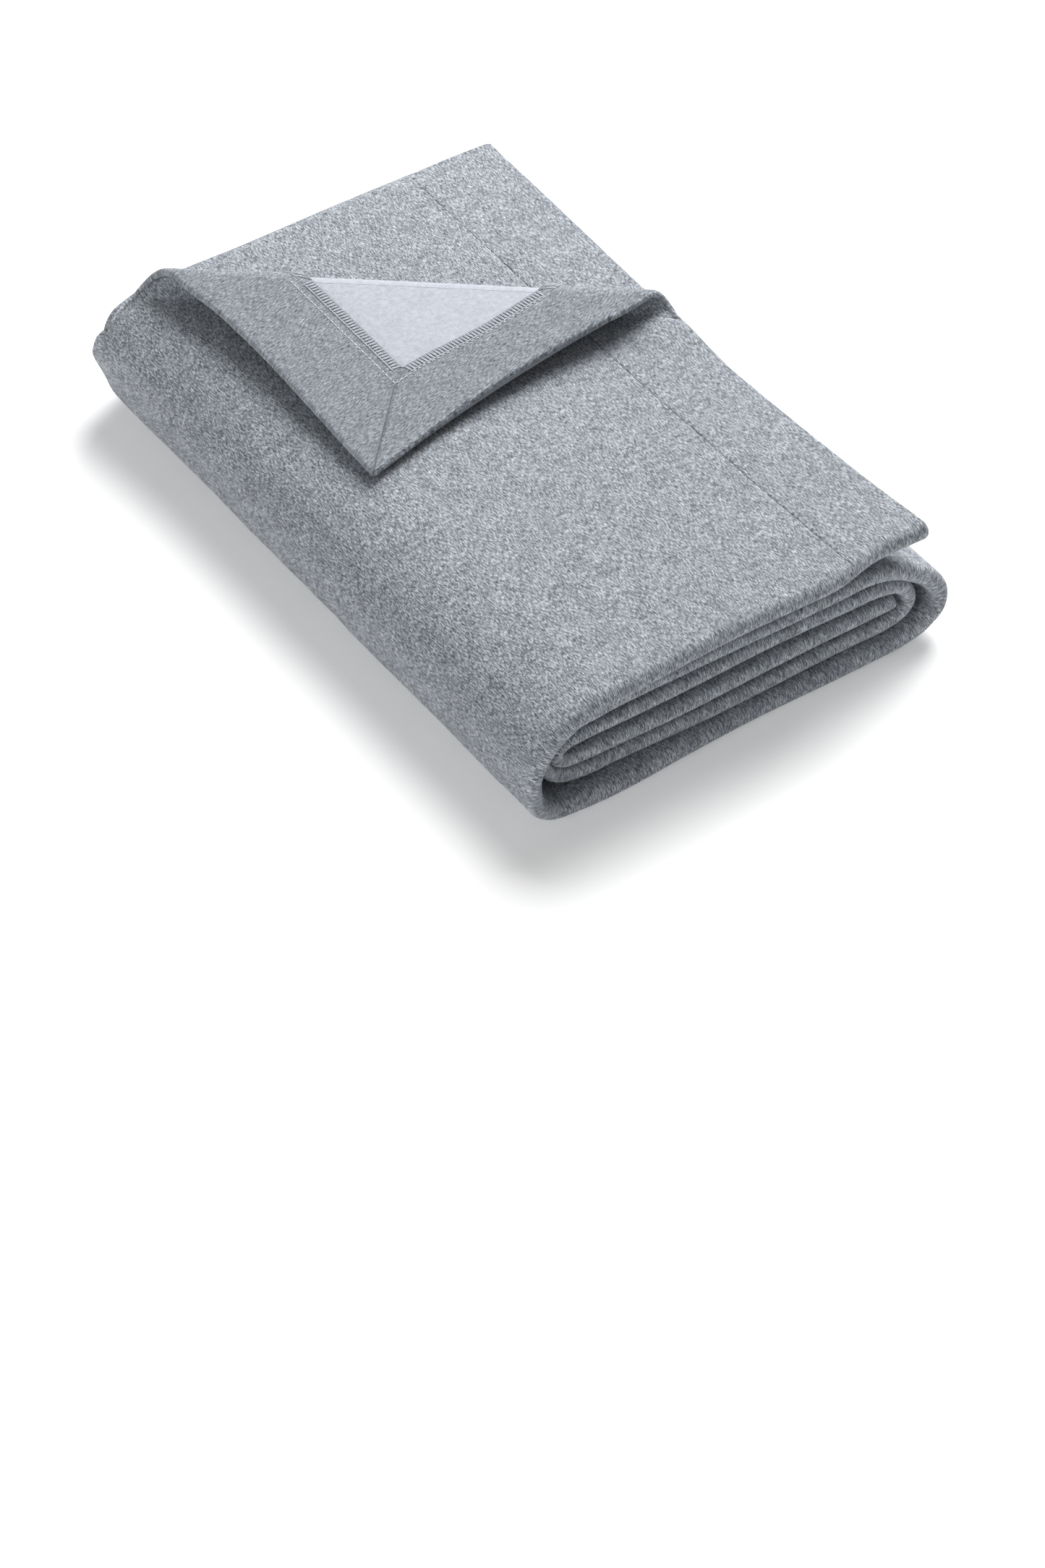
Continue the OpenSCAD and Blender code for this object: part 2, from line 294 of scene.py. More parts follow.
def roll_points():
    """The middle of the three plies in X and Z, from the top layer's end into the core."""
    under, upper = Z_UNDER - 1.2, Z_UPPER - 0.6
    core, lower = Z_CORE - 1.2, Z_LOWER - 1.2
    return [
        (TOP_END, Z_TOP - 2.0), (226, Z_TOP - 0.5), (196, Z_TOP), (62, Z_TOP), (46, Z_TOP - 0.6),
        (30, Z_TOP - 4.8), (18, Z_TOP - 12), (9.5, 47.5), (5.6, 37), (5.6, 25), (9, 14.5), (17, 8),
        (30, Z_BOTTOM), (100, Z_BOTTOM), (215, Z_BOTTOM), (236, Z_BOTTOM + 0.6), (250.5, Z_BOTTOM + 4),
        (260, 18), (261, 26), (256.5, 35), (246, 43.5), (232, 50.5), (215, under - 0.6), (195, under),
        (100, under), (46, under), (29, under - 2.2), (18.6, 48.5), (14.4, 41), (15.2, 34), (19, 27.5),
        (26, 21.5), (40, lower + 0.3), (60, lower), (205, lower), (228, lower + 0.3), (239, 20.5),
        (243.4, 26), (242, 33.5), (236, 39.6), (224, upper - 0.2), (200, upper), (60, upper),
        (38, upper), (29, upper - 1.0), (24, upper - 4.4), (23.8, core + 5.0), (28, core + 1.2),
        (38, core), (60, core), (150, core), (234, core),
    ]


class Path:
    """The roll's path by arc length, with the way out of the roll at each place."""

    def __init__(self, points):
        self.points = through(points)
        steps = np.linalg.norm(np.diff(self.points, axis=0), axis=1)
        self.u = np.concatenate([[0.0], np.cumsum(steps)])
        self.length = self.u[-1]
        even = np.arange(0, self.length, 0.5)
        self.points = np.column_stack([np.interp(even, self.u, self.points[:, k]) for k in (0, 1)])
        self.u = even
        ahead = np.gradient(self.points, even, axis=0)
        ahead /= np.linalg.norm(ahead, axis=1, keepdims=True)
        self.out = np.column_stack([ahead[:, 1], -ahead[:, 0]])
        angle = np.unwrap(np.arctan2(ahead[:, 1], ahead[:, 0]))
        bend = np.abs(np.gradient(angle, even))
        self.bend = np.convolve(np.pad(bend, 4, mode="edge"), np.ones(9) / 9, mode="valid")

    def at(self, u):
        middle = np.column_stack([np.interp(u, self.u, self.points[:, k]) for k in (0, 1)])
        out = np.column_stack([np.interp(u, self.u, self.out[:, k]) for k in (0, 1)])
        return middle, out / np.linalg.norm(out, axis=1, keepdims=True)

    def stations(self, start, end, flat_step=6.0, turn_step=0.2):
        """Places from start to end, closer together where the path bends."""
        inside = (self.u >= start) & (self.u <= end)
        density = 1 / flat_step + self.bend[inside] / turn_step
        count = np.concatenate([[0.0], np.cumsum(density[:-1]) * 0.5])
        wanted = np.linspace(0, count[-1], max(3, int(count[-1]) + 2))
        stations = np.interp(wanted, count, self.u[inside])
        stations[0], stations[-1] = start, end
        return stations

    def first(self, test):
        return float(self.u[np.argmax(test(self.points))])


PATH = Path(roll_points())


def path_place(x, z):
    """The path's length at its point nearest to x and z."""
    return float(PATH.u[np.argmin(np.hypot(PATH.points[:, 0] - x, PATH.points[:, 1] - z))])


def near(x, z, reach):
    """A function of the path's length that is 1 near a point of it and falls to 0 at reach."""
    middle = path_place(x, z)
    return lambda u: 1 - smooth(np.abs(np.asarray(u, float) - middle) / reach)


# Where the plies are pressed together: the left wall, the wrap inside it and the core's fold
PRESSED = [(near(5.6, 32, 26), 1.5), (near(14.4, 41, 26), 1.4), (near(23.8, 36, 16), 1.1)]
INNER_START = path_place(259, 30)  # in the right wrap, past which the roll is inside itself


def ply_level(u):
    """The outer ply's middle above the layer's middle, round the roll."""
    inner = smooth((np.asarray(u, float) - INNER_START) / 60)
    level = PLY_LEVEL - 1.1 * inner - sum(amount * place(u) for place, amount in PRESSED)
    return np.maximum(level, 2 * HALF_PLY + 0.1)


LEFT_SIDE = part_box("left_side_wall")
BEND_START = PATH.first(lambda p: p[:, 0] < (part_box("top_outer_ply")[0][0] - CORNER[0]) / MM)
WALL_START = PATH.first(lambda p: (p[:, 0] < 30) & (p[:, 1] < LEFT_SIDE[1][2] / MM))
WALL_END = PATH.first(lambda p: (p[:, 0] < 30) & (p[:, 1] < LEFT_SIDE[0][2] / MM))
ROOT_START = PATH.first(lambda p: (p[:, 1] < 9) & (p[:, 0] > 20))


# ---- the turned corner's surface

FOLD = unit(SIDE_TOP - END_TOP)
OVER = np.array([FOLD[1], -FOLD[0]])
FOLD_M = float(OVER @ END_TOP)
E_SIDE = unit(SIDE_TOP - TIP)
E_END = unit(END_TOP - TIP)
TURN = math.pi + FLAP_SLOPE
CURL_LEN = CURL_R * TURN
TIP_L = float(FOLD @ TIP)
REACH = FOLD_M - float(OVER @ TIP)
SIDE_L = float(FOLD @ SIDE_TOP)
SIDE_LEN = float(np.linalg.norm(SIDE_TOP - TIP))
END_L = float(FOLD @ END_TOP)
SIDE_FOOT_L = float(FOLD @ SIDE_FOOT)
CORNER_SINE = abs(E_SIDE[0] * E_END[1] - E_SIDE[1] * E_END[0])  # of the tip's angle
SIDE_SPREAD = CORNER_SINE / (OVER @ E_SIDE)  # length along the fold for each mm across a band
END_SPREAD = CORNER_SINE / (OVER @ E_END)


def top_end_x(y):
    """The top ply's end, which bows in a little behind the front."""
    return END_FOOT_X + 8.0 * np.clip(1 - np.asarray(y, float) / 180, 0, 1) ** 2


def under_end_x(y):
    """The end of the plies below it, which shows behind the turned corner."""
    y = np.asarray(y, float)
    return 242.5 + 10.0 * smooth((y - 170) / 70) + 7.0 * np.clip((y - 230) / 180, 0, 1)


def fold_y(x):
    """Where the top ply starts to turn over, as seen from above."""
    return (FOLD_M - OVER[0] * x) / OVER[1]


END_FOOT_L = float(FOLD @ np.array([END_FOOT_X, fold_y(END_FOOT_X)]))

TOP_LEVEL = Z_TOP + PLY_LEVEL


def back_lift(u, y, back):
    """How far the outer ply stands off the upper left bend near its back edge."""
    here = smooth((u - BEND_START + 8) / 34) * (1 - smooth((u - WALL_START + 14) / 34))
    return 4.2 * here * smooth((y - back + 90) / 90)


def foot_hump(x, y):
    """The cloth rises a little towards the place where its end turns over."""
    reach = np.hypot(x - HUMP_PLACE[0], y - HUMP_PLACE[1]) / HUMP_REACH
    return HUMP_HEIGHT * np.exp(-(reach**2))


def outer_ply_z(x):
    """Height of the outer ply's middle over the top and down the left bend."""
    u = np.linspace(0, WALL_START, 800)
    middle, out = PATH.at(u)
    outer = middle + (ply_level(u) + back_lift(u, 0.0, 0.0))[:, None] * out
    return np.interp(x, outer[::-1, 0], outer[::-1, 1])


def on_corner(l, d, height=0.0):
    """A point of the turned corner: l along the fold, d past the curl's foot, height above the
    middle of the cloth on its back side."""
    l, d = np.broadcast_arrays(np.asarray(l, float), np.asarray(d, float))
    turn = np.clip(d / CURL_R, 0, TURN)
    rest = np.maximum(d - CURL_LEN, 0)
    foot = l[..., None] * FOLD + FOLD_M * OVER
    under = foot + (CURL_R * np.sin(turn))[..., None] * OVER
    drop = outer_ply_z(under[..., 0]) - TOP_LEVEL + foot_hump(foot[..., 0], foot[..., 1])
    drop = drop * (1 + np.cos(turn)) / 2
    m = CURL_R * np.sin(turn) + rest * math.cos(TURN)
    z = TOP_LEVEL + CURL_R * (1 - np.cos(turn)) + rest * math.sin(TURN) + drop
    crown = 0.8 * np.sin(math.pi * np.clip((l - END_L) / (SIDE_L - END_L), 0, 1))
    z = z + crown * smooth(turn / math.pi) * smooth(1 - rest / REACH)
    back_m = np.sin(turn)
    back_z = -np.cos(turn)
    m = m + height * back_m
    z = z + height * back_z
    plan = foot + m[..., None] * OVER
    return np.concatenate([plan, z[..., None]], axis=-1)


def corner_flat(l, d):
    """Where that point lies on the sheet, opened out."""
    l, d = np.broadcast_arrays(np.asarray(l, float), np.asarray(d, float))
    return l[..., None] * FOLD + (FOLD_M + d)[..., None] * OVER


def end_bow(a):
    """How far the flap's end edge bows in, at a along it from the tip."""
    return 6.0 * np.sin(math.pi * np.clip(a / 190, 0, 1)) ** 1.2


def side_bow(b):
    """How far the flap's side edge bows in, at b along it from the tip."""
    return 4.0 * np.sin(math.pi * np.clip(b / SIDE_LEN, 0, 1) ** 1.5)


def flap_place(a, b):
    """l and d of a place on the flap: a along its end edge and b along its side edge, from the tip."""
    a, b = np.broadcast_arrays(np.asarray(a, float), np.asarray(b, float))
    plan = TIP + a[..., None] * E_END + b[..., None] * E_SIDE
    before = np.maximum(FOLD_M - plan @ OVER, 0)
    bow = end_bow(a) * np.clip(1 - b / 45, 0, 1) ** 2 * smooth(before / 25)
    inward = side_bow(b) * np.clip(1 - a / 45, 0, 1) ** 2 * smooth(before / 25)
    plan = plan + bow[..., None] * E_SIDE + inward[..., None] * E_END
    return plan @ FOLD, CURL_LEN + (FOLD_M - plan @ OVER) / math.cos(FLAP_SLOPE)


def flap_reach(a):
    """How far along the side edge's direction the flap goes before it curls, at a."""
    return (REACH - a * (OVER @ E_END)) / (OVER @ E_SIDE)


def flap_reach_end(b):
    """The same along the end edge's direction, at b."""
    return (REACH - b * (OVER @ E_SIDE)) / (OVER @ E_END)


def side_edge_l(d):
    """Place along the fold of the curl's side edge."""
    return SIDE_FOOT_L + (SIDE_L - SIDE_FOOT_L) * np.clip(d / CURL_LEN, 0, 1)


def end_edge_l(d):
    """Place along the fold of the curl's end edge."""
    return END_FOOT_L + (END_L - END_FOOT_L) * np.clip(d / CURL_LEN, 0, 1)


def end_narrowing(a):
    """The end band's width at a, as a share of its width at the tip."""
    return 1 - (1 - END_BAND_FAR / END_BAND_TIP) * smooth((a - SIDE_BAND) / 60)


# ---- materials


def srgb(r, g, b):
    """A linear colour from one written as 0 to 255."""
    def linear(v):
        v = v / 255
        return v / 12.92 if v <= 0.04045 else ((v + 0.055) / 1.055) ** 2.4

    return (linear(r), linear(g), linear(b), 1.0)


def set_inputs(node, values):
    """Sets a node's own values, by the names of its inputs."""
    for name, value in values.items():
        node.inputs[name].default_value = value


class Nodes:
    """Short names for making a material's nodes."""

    def __init__(self, name):
        self.material = bpy.data.materials.new(name)
        self.material.use_nodes = True
        self.tree = self.material.node_tree
        self.shader = self.tree.nodes["Principled BSDF"]
        attribute = self.node("ShaderNodeAttribute")
        attribute.attribute_name = "flat"
        self.flat = attribute.outputs["Vector"]

    def node(self, kind):
        return self.tree.nodes.new(kind)

    def link(self, source, socket):
        self.tree.links.new(source, socket)

    def math(self, operation, a, b=None, c=None):
        node = self.node("ShaderNodeMath")
        node.operation = operation
        for socket, value in zip(node.inputs, (a, b, c)):
            if value is None:
                continue
            if isinstance(value, (int, float)):
                socket.default_value = value
            else:
                self.link(value, socket)
        return node.outputs[0]

    def add(self, value, source, amount, middle=0.5):
        """value, raised by amount for each 1 that source is above its middle."""
        return self.math("MULTIPLY_ADD", self.math("SUBTRACT", source, middle), amount, value)

    def scaled(self, x, y, z=1.0):
        node = self.node("ShaderNodeVectorMath")
        node.operation = "MULTIPLY"
        self.link(self.flat, node.inputs[0])
        node.inputs[1].default_value = (x, y, z)
        return node.outputs[0]

    def noise(self, length_x, length_y, detail=2.0, roughness=0.5, distortion=0.0):
        """Noise from 0 to 1 with blobs of about these lengths along the sheet."""
        node = self.node("ShaderNodeTexNoise")
        self.link(self.scaled(1 / length_x, 1 / length_y, 0.37), node.inputs["Vector"])
        values = {"Scale": 1.0, "Detail": detail, "Roughness": roughness, "Distortion": distortion}
        set_inputs(node, values)
        return node.outputs["Fac"]

    def ramp(self, value, stops):
        node = self.node("ShaderNodeValToRGB")
        elements = node.color_ramp.elements
        elements[0].position, elements[0].color = stops[0]
        elements[1].position, elements[1].color = stops[-1]
        for position, colour in stops[1:-1]:
            elements.new(position).color = colour
        self.link(value, node.inputs["Fac"])
        return node.outputs["Color"]

    def bump(self, height, distance, strength=1.0):
        node = self.node("ShaderNodeBump")
        node.inputs["Distance"].default_value = distance * MM
        node.inputs["Strength"].default_value = strength
        self.link(height, node.inputs["Height"])
        self.link(node.outputs["Normal"], self.shader.inputs["Normal"])

    def finish(self, roughness, sheen, sheen_roughness, tint):
        values = {"Roughness": roughness, "Specular IOR Level": 0.25, "Sheen Weight": sheen}
        set_inputs(self.shader, values | {"Sheen Roughness": sheen_roughness, "Sheen Tint": tint})
        return self.material


WALE = 0.88  # width of a stitch column
COURSE = 0.66  # height of a stitch


def knit_height(n):
    """The face of a plain knit: columns of V stitches along the sheet's length."""
    split = n.node("ShaderNodeSeparateXYZ")
    n.link(n.flat, split.inputs[0])
    x, y = split.outputs[0], split.outputs[1]
    column = n.math("ABSOLUTE", n.math("SINE", n.math("MULTIPLY", x, math.pi / WALE)))
    leg = n.math("MULTIPLY", n.math("PINGPONG", x, WALE / 2), 1.3)
    row = n.math("SINE", n.math("MULTIPLY", n.math("ADD", y, leg), 2 * math.pi / COURSE))
    return n.math("MULTIPLY_ADD", row, 0.35, column)


def jersey(name, dark, mid, light, streak=2.1, mottle=0.45, contrast=1.0):
    """Heathered knit: dark and pale fibres drawn out along the stitch columns, and painted shade that
    darkens the hollows between the stitches.
    """
    n = Nodes(name)
    fibres = n.noise(0.42, streak, detail=3.0, roughness=0.65, distortion=0.2)
    flecks = n.noise(0.8, streak * 1.6, detail=2.0, roughness=0.6, distortion=0.4)
    specks = n.noise(0.3, 0.4, detail=1.0, roughness=0.6)
    cloud = n.noise(6.0, 13.0, detail=2.0)
    height = knit_height(n)
    value = n.add(0.5, fibres, 2.5 * contrast)
    value = n.add(value, flecks, 1.5 * contrast)
    value = n.add(value, specks, 0.9 * contrast)
    value = n.add(value, cloud, mottle)
    # The stitch relief tints the colour: painted shade, darker in the hollows between stitches and
    # lighter on the raised loops.
    value = n.add(value, height, 0.06, middle=0.7)
    colour = n.ramp(value, [(0.05, dark), (0.5, mid), (0.92, light)])
    n.link(colour, n.shader.inputs["Base Color"])
    fuzz = n.math("MULTIPLY_ADD", specks, 0.5, height)
    n.bump(n.math("MULTIPLY_ADD", fibres, 0.6, fuzz), 0.16)
    return n.finish(0.9, 0.12, 0.4, (0.94, 0.96, 1.0, 1.0))


def fleece(name, low, high):
    """Brushed back: pale, soft clumps of fibre with no stitch showing."""
    n = Nodes(name)
    clumps = n.noise(2.6, 3.2, detail=3.0, roughness=0.6, distortion=0.4)
    fibres = n.noise(0.5, 0.8, detail=2.0, roughness=0.6)
    cloud = n.noise(14.0, 18.0, detail=1.0)
    value = n.add(n.add(clumps, fibres, 0.5), cloud, 0.3)
    n.link(n.ramp(value, [(0.2, low), (0.8, high)]), n.shader.inputs["Base Color"])
    n.bump(n.math("MULTIPLY_ADD", fibres, 0.5, clumps), 0.35)
    return n.finish(0.95, 0.35, 0.6, (0.93, 0.95, 1.0, 1.0))


def thread(name, dark, light):
    """Spun thread: fine twist and small changes of shade."""
    n = Nodes(name)
    fibres = n.noise(0.35, 0.9, detail=2.0, roughness=0.6)
    n.link(n.ramp(fibres, [(0.3, dark), (0.7, light)]), n.shader.inputs["Base Color"])
    n.bump(fibres, 0.06)
    return n.finish(0.7, 0.15, 0.4, (0.9, 0.93, 1.0, 1.0))


def make_materials():
    """Each look as the list that a mesh takes: cloth has a face and a back."""
    face = jersey("heather_jersey", srgb(80, 85, 92), srgb(147, 152, 159), srgb(216, 221, 227))
    shades = srgb(88, 93, 100), srgb(142, 147, 154), srgb(200, 205, 212)
    hem = jersey("heather_hem", *shades, mottle=0.3, contrast=0.85)
    back = fleece("brushed_fleece", srgb(162, 167, 175), srgb(190, 195, 203))
    overlock = thread("overlock_thread", srgb(140, 146, 154), srgb(214, 219, 226))
    needle = thread("needle_thread", srgb(198, 203, 210), srgb(236, 239, 244))
    # Dark thread, drawn darker still: painted shade of the crease along the mitre seam. The end hems'
    # needle lines take the same thread.
    seam = thread("seam_thread_painted_crease_shade", srgb(70, 76, 84), srgb(122, 128, 136))
    return {
        "cloth": [face, back],
        "hem": [hem, hem],
        "overlock": [overlock],
        "needle": [needle],
        "seam": [seam],
    }


# ---- the rolled cloth


def front_y(u):
    """How far back the front fold stands, which changes a little round the roll."""
    uneven = 1.0 * np.sin(u / 61 + 0.4) + 0.6 * np.sin(u / 23 + 1.9)
    outer_turn = smooth((u - 30) / 40) * (1 - smooth((u - ROOT_START - 240) / 60))
    return 5.0 + uneven - 6.4 * outer_turn


def end_ease(u):
    """1 at the top layer's end, falling to 0 where its bow has died out."""
    return 1 - smooth(u / 90)


def hem_back_y(u):
    """The outer ply's finished edge: it dips where the left side bends."""
    middle, out = PATH.at(u)
    outer = middle + (ply_level(u) + back_lift(u, 0.0, 0.0))[:, None] * out
    left = (u > BEND_START - 1) & (u < ROOT_START + 80)
    foot = np.interp(outer[:, 1], [0, 8, 22, 34, 48, 56], [396, 401, 408, 410, 405, SIDE_FOOT[1]])
    back = np.where(left, foot, HEM_BACK)
    along = smooth((u - ROOT_START) / 80)
    back = np.where(u > ROOT_START, foot + (HEM_BACK - foot) * along, back)
    on_bend = (u < WALL_START) & (outer[:, 0] > SIDE_FOOT[0])
    shift = (END_FOOT_X - TOP_END) * end_ease(u)
    return np.where(on_bend, fold_y(outer[:, 0] + shift), back)


def roll_back_y(u):
    """The inner plies' folds at the back, a little forward on the left side."""
    left = smooth((u - BEND_START + 60) / 60) * (1 - smooth((u - ROOT_START) / 80))
    return ROLL_BACK - 4.5 * smooth(u / 190) - 8 * left


BACK_EDGE = np.array([0, 0.6, 1.4, EDGE_ROUND])  # columns that round the finished edge
LINE_COLUMNS = np.array([2.4, 1.2, 0.6, 0.0, -0.6, -1.2, -2.4])  # columns across the needle line
HEM_COUNT = 10
FRONT_COUNT = 58
OUTER_COUNT = len(BACK_EDGE) + HEM_COUNT - 1 + len(LINE_COLUMNS) + FRONT_COUNT - 1
ARC_COUNT = 11
BACK_COUNT = 5
OUTER_END = OUTER_COUNT + ARC_COUNT - 1  # the profile's points up to the inner ply
MIDDLE_DROP = 1.55  # how much lower the middle ply lies on top, so that the opened hem has room
GROOVE = 0.7  # depth of the dent along a needle line
GROOVE_WIDTH = 0.9


def hem_line_y(u):
    """Where the back hem's needle line lies: a hem's width in front of the finished edge."""
    return 363.0 - 3.0 * smooth((np.asarray(u, float) - WALL_START) / 30)


def outer_columns(u, centre):
    """Y of the outer ply's columns: its back edge, its hem, the needle line and the rest."""
    hem = hem_back_y(u)[:, None]
    line = np.minimum(hem_line_y(u)[:, None], hem - 14)
    after = hem - EDGE_ROUND
    t = np.linspace(0, 1, HEM_COUNT + 1)[None, 1:-1]
    hem_part = after + (line + LINE_COLUMNS[0] - after) * t
    last = line + LINE_COLUMNS[-1]
    t = np.linspace(0, 1, FRONT_COUNT)[None, 1:]
    front_part = last + (centre - last) * t
    return np.concatenate([hem - BACK_EDGE, hem_part, line + LINE_COLUMNS, front_part], axis=1)


def under_corner(u):
    """1 along the top layer, where the corner can lie opened flat on the plies below."""
    return 1 - smooth((np.asarray(u, float) - BEND_START + 4) / 16)


def profile(u):
    """Y and height out of the roll along the sheet's width, for each place u: the outer ply from
    its back edge, the front fold, the inner ply, the back fold and the middle ply."""
    front = front_y(u)[:, None]
    back = roll_back_y(u)[:, None]
    level = ply_level(u)[:, None]
    centre = front + level + HALF_PLY
    outer_y = outer_columns(u, centre)
    outer_n = level + 0 * outer_y
    angle = np.linspace(math.pi / 2, 3 * math.pi / 2, ARC_COUNT)[None, 1:]
    arc_y = centre + level * np.cos(angle)
    arc_n = level * np.sin(angle)
    drop = MIDDLE_DROP * under_corner(u)[:, None]
    half = (level - drop) / 2
    turn = back - half - HALF_PLY
    t = np.linspace(0, 1, FRONT_COUNT)[None, 1:]
    inner_y = centre + (turn - centre) * t
    inner_n = -level + 0 * inner_y
    angle = np.linspace(-math.pi / 2, math.pi / 2, BACK_COUNT)[None, 1:]
    fold_back_y = turn + half * np.cos(angle)
    fold_back_n = -level + half + half * np.sin(angle)
    middle_y = turn + (centre + 6 - turn) * t
    middle_n = -drop + 0 * middle_y
    y = np.concatenate([outer_y, arc_y, inner_y, fold_back_y, middle_y], axis=1)
    n = np.concatenate([outer_n, arc_n, inner_n, fold_back_n, middle_n], axis=1)
    return y, n


def groove(distance):
    """The dent that a needle line draws in the cloth."""
    return GROOVE * np.exp(-((distance / GROOVE_WIDTH) ** 2))


def pinch(u, y):
    """How far the outer ply's back edge draws in, on the left side below the bend."""
    below_bend = smooth((u - WALL_START - 4) / 20) * (1 - smooth((u - ROOT_START) / 90))
    return 4.0 * smooth((y - 394) / 20) * below_bend


def unevenness(u, y):
    """Soft waves in the cloth, calmer near the front fold."""
    uneven = 0.45 * waves(u, y, 95) + 0.22 * waves(u + 300, y * 1.3, 34)
    return uneven * (smooth((y - 2) / 30) * 0.6 + 0.4)


def roll_surface(u):
    """The middle of the cloth and its place on the flat sheet, for each place u of the path."""
    y, n = profile(u)
    middle, out = PATH.at(u)
    radius = 1 / np.maximum(np.interp(u, PATH.u, PATH.bend), 1e-4)
    n = np.maximum(n, -(radius[:, None] - 1.8))
    outer = np.arange(y.shape[1])[None, :] < OUTER_COUNT
    near_back = smooth((y[:, :1] - y) / 30)
    n = n - outer * pinch(u[:, None], y) + unevenness(u[:, None], y) * np.where(outer, near_back, 0.6)
    n = n + outer * back_lift(u[:, None], y, y[:, :1])
    n = n - outer * groove(y - hem_line_y(u)[:, None])
    hump = outer * foot_hump(middle[:, :1] + 0 * y, y) * (u[:, None] < WALL_START)
    x = middle[:, :1] + n * out[:, :1]
    z = middle[:, 1:] + n * out[:, 1:] + hump
    mid = np.stack([x, y, z], axis=2)
    length = np.zeros_like(y)
    steps = np.hypot(np.diff(y, axis=1), np.diff(n, axis=1))
    length[:, 1:] = np.cumsum(steps, axis=1)
    flat = np.stack([TOP_END - np.broadcast_to(u[:, None], y.shape), y[:, :1] - length], axis=2)
    return mid, flat


def meets_curl(u):
    """1 where the outer ply's back edge on the bend runs into the curl's foot."""
    middle, out = PATH.at(u)
    outer_x = middle[:, 0] + ply_level(u) * out[:, 0]
    return smooth((outer_x - 2) / 11) * (u < WALL_START)


def edge_rounding(distance):
    """Share of the cloth's full thickness at a distance in from a free edge."""
    return np.sqrt(np.clip(1 - (1 - np.clip(distance / EDGE_ROUND, 0, 1)) ** 2, 0.02, 1))


def halves(u):
    """Half thicknesses on the face and back sides, with the turned hem along the back edge."""
    y, _ = profile(u)
    from_edge = y[:, :1] - y
    outer = np.arange(y.shape[1])[None, :] < OUTER_COUNT
    hem = 2 * HEM_HALF * (1 - smooth((from_edge - HEM_WIDTH) / 2.5)) * outer
    rounding = np.where(outer, edge_rounding(from_edge), 1.0)
    rounding = rounding + (1 - rounding) * meets_curl(u)[:, None]
    return HALF_PLY * rounding, (HALF_PLY + hem) * rounding


SEAM_ROW = 0.4  # the rows nearest a seam between pieces, so that the two sides shade alike


def with_seam_rows(u, first=True, last=True):
    """Adds a row close inside each seam, and one as close outside it, for the normals only."""
    inner = u[1:-1]
    head = [u[0] - SEAM_ROW, u[0], u[0] + SEAM_ROW] if first else [u[0]]
    tail = [u[-1] - SEAM_ROW, u[-1], u[-1] + SEAM_ROW] if last else [u[-1]]
    inner = inner[(inner > head[-1] + SEAM_ROW) & (inner < tail[0] - SEAM_ROW)]
    return np.concatenate([head, inner, tail])


def rolled_piece(name, start, end, materials, seams):
    """The roll's cloth between two places of its path."""
    first, last = "u0" in seams, "u1" in seams
    u = with_seam_rows(PATH.stations(start, end), first, last)
    mid, flat = roll_surface(u)
    rows = slice(1 if first else 0, -1 if last else None)
    normals = grid_normals(mid)[rows]
    face, back = halves(u[rows])
    return cloth(name, mid[rows], flat[rows], face, back, materials["cloth"], seams, normals=normals)


def shifted_end(mid, u, end_x):
    """The same grid with its end at end_x, eased out along the top layer."""
    moved = mid.copy()
    moved[..., 0] += (end_x(mid[..., 1]) - TOP_END) * end_ease(u)[:, None]
    return moved


def top_piece(name, u, mid, flat, materials, seams):
    """Cloth of the top layer, without its last row, with the turned hem at its end."""
    rounding = edge_rounding(u)[:-1, None]
    hem = HEM_HALF * (1 - smooth((u - HEM_WIDTH) / 2.5))[:-1, None]
    face, back = HALF_PLY * rounding, (HALF_PLY + hem) * rounding
    normals = grid_normals(mid)[:-1]
    return cloth(name, mid[:-1], flat[:-1], face, back, materials["cloth"], seams, normals=normals)


def top_stations():
    """Places along the top layer, with one more past its seam with the bend."""
    rest = with_seam_rows(PATH.stations(EDGE_ROUND, BEND_START, flat_step=4.0), first=False)
    line = NEEDLE_FROM_EDGE + LINE_COLUMNS[::-1]
    rest = rest[(rest < line[0] - 1) | (rest > line[-1] + 1)]
    return np.sort(np.concatenate([BACK_EDGE[:-1], rest, line]))


def top_cloth(materials):
    """The outer ply on top, with the front fold, as far back as the curl's foot."""
    u = top_stations()
    mid, flat = roll_surface(u)
    mid = shifted_end(mid[:, :OUTER_END], u, top_end_x)
    mid[:, :OUTER_COUNT, 2] -= groove(u - NEEDLE_FROM_EDGE)[:, None]
    return top_piece("top_cloth", u, mid, flat[:, :OUTER_END], materials, ("u1", "s0", "s1"))


def under_cloth(materials):
    """The two plies under it, with the fold between them at the back."""
    u = top_stations()
    mid, flat = roll_surface(u)
    columns = slice(OUTER_END - 1, None)
    mid = shifted_end(mid[:, columns], u, under_end_x)
    mid[:, -FRONT_COUNT:, 2] -= groove(u - NEEDLE_FROM_EDGE)[:, None]
    return top_piece("top_under_cloth", u, mid, flat[:, columns], materials, ("u1", "s0"))


# ---- the turned corner's cloth


def curl_cloth(materials):
    """The curl where the corner turns over."""
    d = with_seam_rows(np.linspace(0, CURL_LEN, 24))[:, None]
    g = np.linspace(0, 1, 70)[None, :]
    first = end_edge_l(d) + CLOTH_INSET
    last = side_edge_l(d) - CLOTH_INSET
    l = first + (last - first) * g
    mid = on_corner(l, d)
    normals = grid_normals(mid)[1:-1]
    flat = corner_flat(l, d)[1:-1]
    look, seams = materials["cloth"], ("u0", "u1")
    return cloth("corner_curl_cloth", mid[1:-1], flat, HALF_PLY, HALF_PLY, look, seams, normals=normals)


